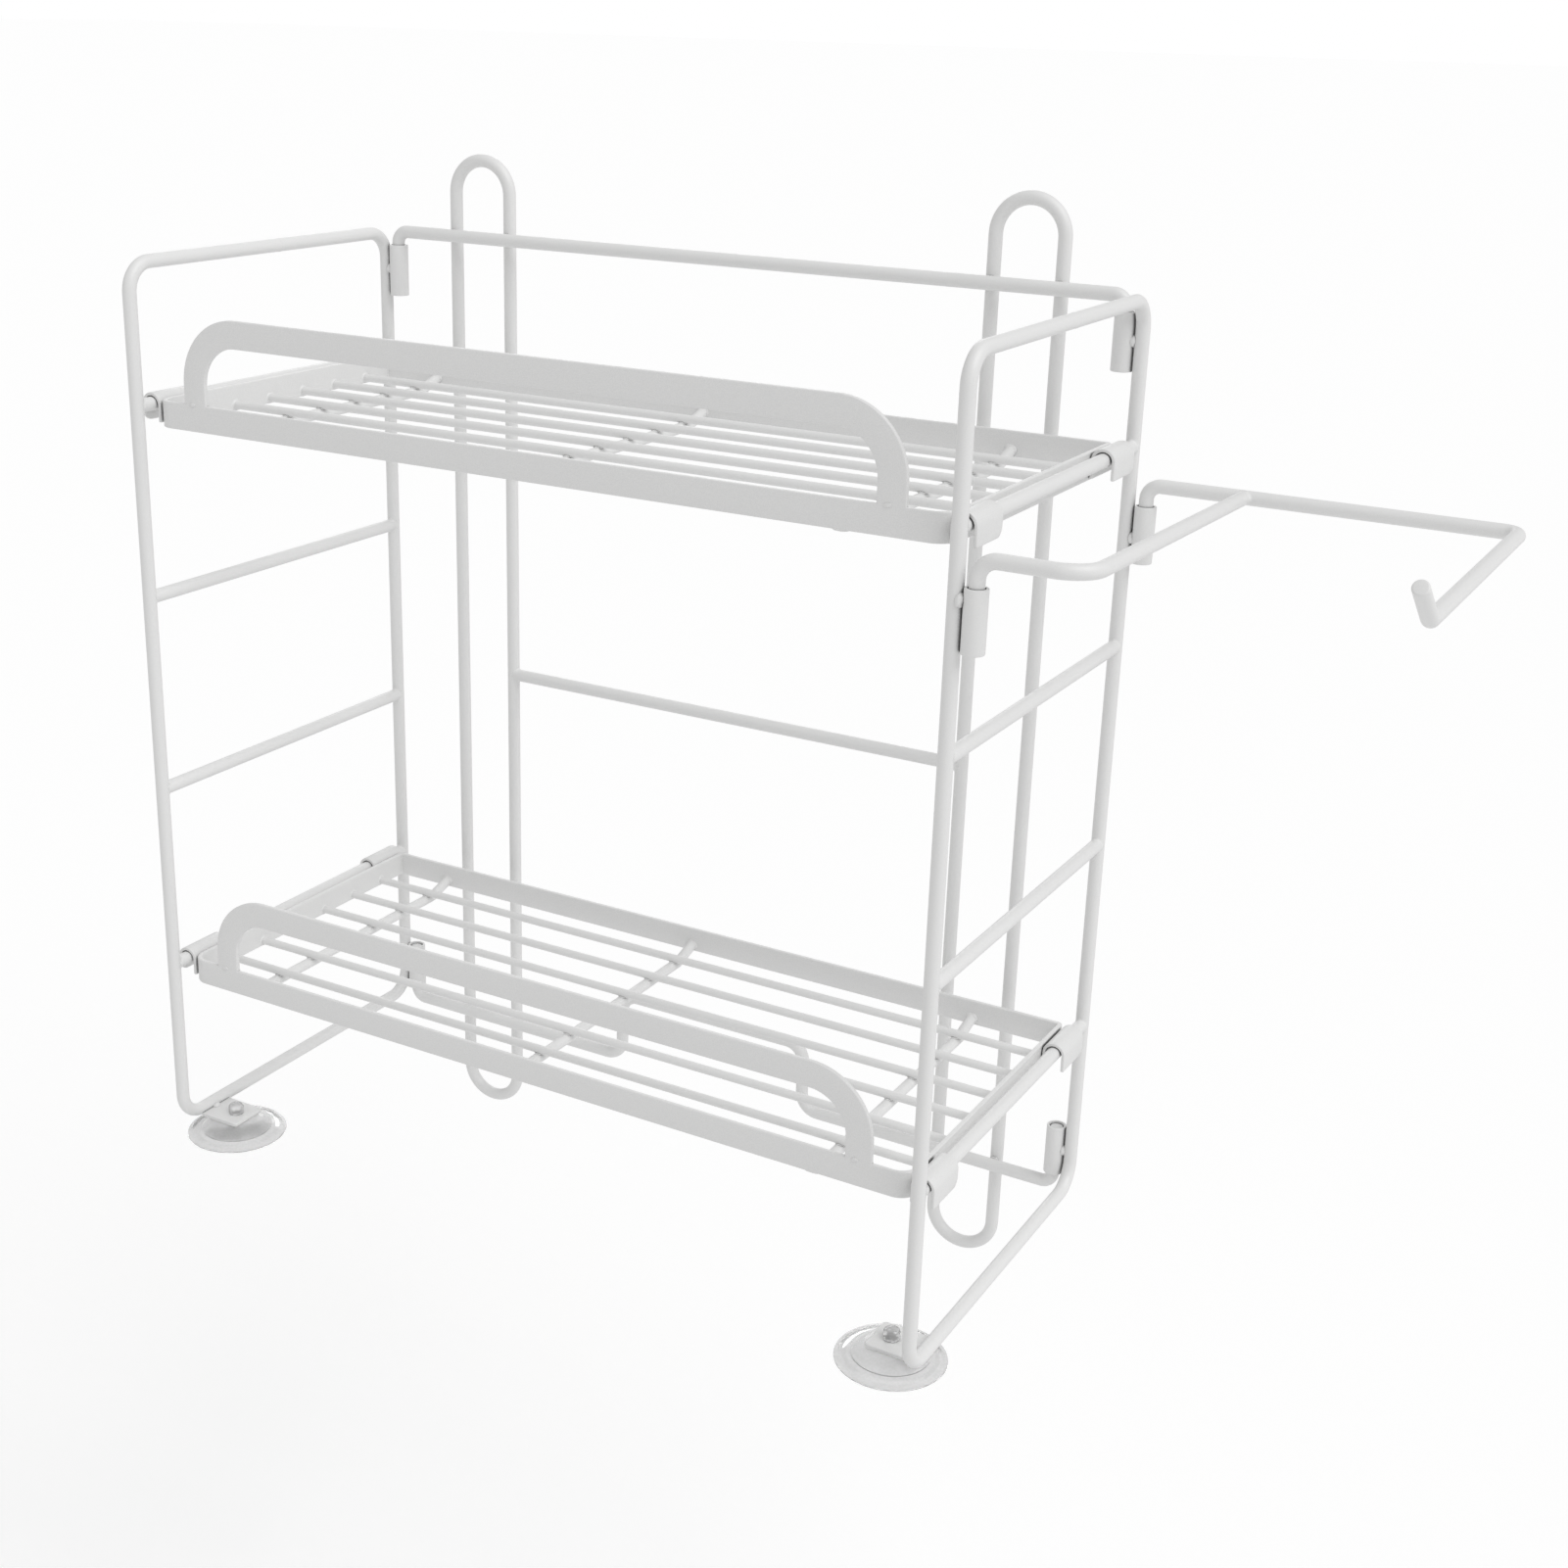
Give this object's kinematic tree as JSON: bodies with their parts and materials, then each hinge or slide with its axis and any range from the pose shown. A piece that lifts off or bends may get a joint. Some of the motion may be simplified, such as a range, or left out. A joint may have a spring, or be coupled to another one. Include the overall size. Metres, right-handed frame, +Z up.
{
  "type": "wall-mounted bathroom shelf",
  "caption": "Wire bathroom shelf that hangs on a wall, with hooked lift-off shelves and guard arches between hinged side frames, suction feet and a side paper-roll holder.",
  "frame": {"origin": "on the wall plane, midway between the hanging loops, at the inner top of their crowns, where they rest on the wall's hooks", "axes": "+X to the right as seen from the room, +Y into the wall, +Z up"},
  "size_m": [0.5148, 0.1752, 0.4657],
  "materials": {
    "powder_coat": "white satin powder coat",
    "clear_vinyl": "clear soft vinyl"
  },
  "bodies": {
    "frame": {"left_side_frame": "powder_coat", "left_lower_shelf_rung": "powder_coat", "left_lower_spare_rung": "powder_coat", "left_upper_spare_rung": "powder_coat", "left_upper_shelf_rung": "powder_coat", "left_top_hinge_sleeve": "powder_coat", "left_bottom_hinge_sleeve": "powder_coat", "left_foot_plate": "powder_coat", "right_side_frame": "powder_coat", "right_lower_shelf_rung": "powder_coat", "right_lower_spare_rung": "powder_coat", "right_upper_spare_rung": "powder_coat", "right_upper_shelf_rung": "powder_coat", "right_top_hinge_sleeve": "powder_coat", "right_bottom_hinge_sleeve": "powder_coat", "right_foot_plate": "powder_coat", "rear_top_bar": "powder_coat", "rear_bottom_bar": "powder_coat", "rear_middle_bar": "powder_coat", "left_wall_loop": "powder_coat", "right_wall_loop": "powder_coat", "roll_holder_front_sleeve": "powder_coat", "roll_holder_rear_sleeve": "powder_coat"},
    "lower_shelf": {"lower_shelf_rim": "powder_coat", "lower_shelf_front_guard": "powder_coat", "lower_shelf_deck_wire_1": "powder_coat", "lower_shelf_deck_wire_2": "powder_coat", "lower_shelf_deck_wire_3": "powder_coat", "lower_shelf_deck_wire_4": "powder_coat", "lower_shelf_deck_wire_5": "powder_coat", "lower_shelf_deck_wire_6": "powder_coat", "lower_shelf_left_cross_wire": "powder_coat", "lower_shelf_middle_cross_wire": "powder_coat", "lower_shelf_right_cross_wire": "powder_coat", "lower_shelf_left_front_hook": "powder_coat", "lower_shelf_left_rear_hook": "powder_coat", "lower_shelf_right_front_hook": "powder_coat", "lower_shelf_right_rear_hook": "powder_coat"},
    "upper_shelf": {"upper_shelf_rim": "powder_coat", "upper_shelf_front_guard": "powder_coat", "upper_shelf_deck_wire_1": "powder_coat", "upper_shelf_deck_wire_2": "powder_coat", "upper_shelf_deck_wire_3": "powder_coat", "upper_shelf_deck_wire_4": "powder_coat", "upper_shelf_deck_wire_5": "powder_coat", "upper_shelf_deck_wire_6": "powder_coat", "upper_shelf_left_cross_wire": "powder_coat", "upper_shelf_middle_cross_wire": "powder_coat", "upper_shelf_right_cross_wire": "powder_coat", "upper_shelf_left_front_hook": "powder_coat", "upper_shelf_left_rear_hook": "powder_coat", "upper_shelf_right_front_hook": "powder_coat", "upper_shelf_right_rear_hook": "powder_coat"},
    "roll_holder": {"roll_arm": "powder_coat", "roll_brace": "powder_coat"},
    "left_cup": {"left_suction_cup": "clear_vinyl"},
    "right_cup": {"right_suction_cup": "clear_vinyl"}
  },
  "joints": [
    {"name": "upper_shelf_lift", "type": "slide", "parent": "frame", "child": "upper_shelf", "axis": [0, 0, 1], "range_m": [0, 0.04]},
    {"name": "lower_shelf_lift", "type": "slide", "parent": "frame", "child": "lower_shelf", "axis": [0, 0, 1], "range_m": [0, 0.065]},
    {"name": "roll_holder_lift", "type": "slide", "parent": "frame", "child": "roll_holder", "axis": [0, 0, 1], "range_m": [0, 0.018]},
    {"name": "left_cup_turn", "type": "hinge", "parent": "frame", "child": "left_cup", "pos_m": [-0.165, -0.1532, -0.4181], "axis": [0, 0, 1], "continuous": true},
    {"name": "right_cup_turn", "type": "hinge", "parent": "frame", "child": "right_cup", "pos_m": [0.165, -0.1532, -0.4181], "axis": [0, 0, 1], "continuous": true}
  ]
}
